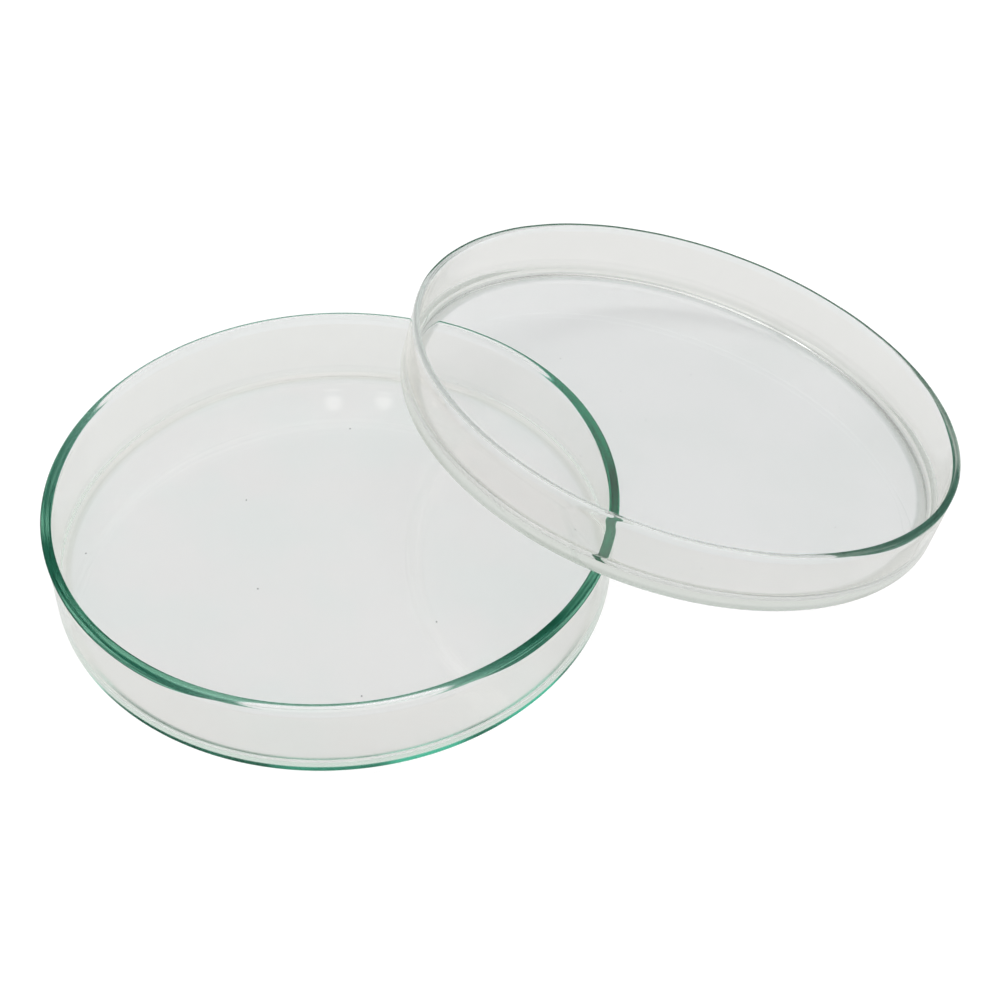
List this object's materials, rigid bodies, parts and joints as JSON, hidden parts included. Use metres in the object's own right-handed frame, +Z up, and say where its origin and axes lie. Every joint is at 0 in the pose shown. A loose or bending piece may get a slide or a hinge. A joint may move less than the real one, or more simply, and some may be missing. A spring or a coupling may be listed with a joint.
{
  "type": "petri dish",
  "caption": "Round shallow clear glass culture dish with a flat floor and a rounded green-edged lip, its wider, shallower glass lid lifted off and leaning mouth up against the rim.",
  "frame": {"origin": "centre of the bottom dish's flat underside, on the bench", "axes": "+Z up, along the bottom dish's axis and out of its mouth; the lid leans on the +X side of the dish's rim, a little towards +Y"},
  "size_m": [0.1596, 0.1126, 0.0359],
  "materials": {
    "dish_glass": "clear pressed soda-lime glass, fire-polished lip, pale green that turns dark green through the rim and heel",
    "lid_glass": "clear pressed soda-lime glass, slightly wavy fire-polished lip, pale green that turns grey-green through the rim"
  },
  "bodies": {
    "dish": {"bottom_dish": "dish_glass"},
    "lid": {"lid": "lid_glass"}
  },
  "joints": [
    {"name": "lid_lift", "type": "slide", "parent": "dish", "child": "lid", "axis": [0, 0, 1], "range_m": [0, 0.05]}
  ]
}
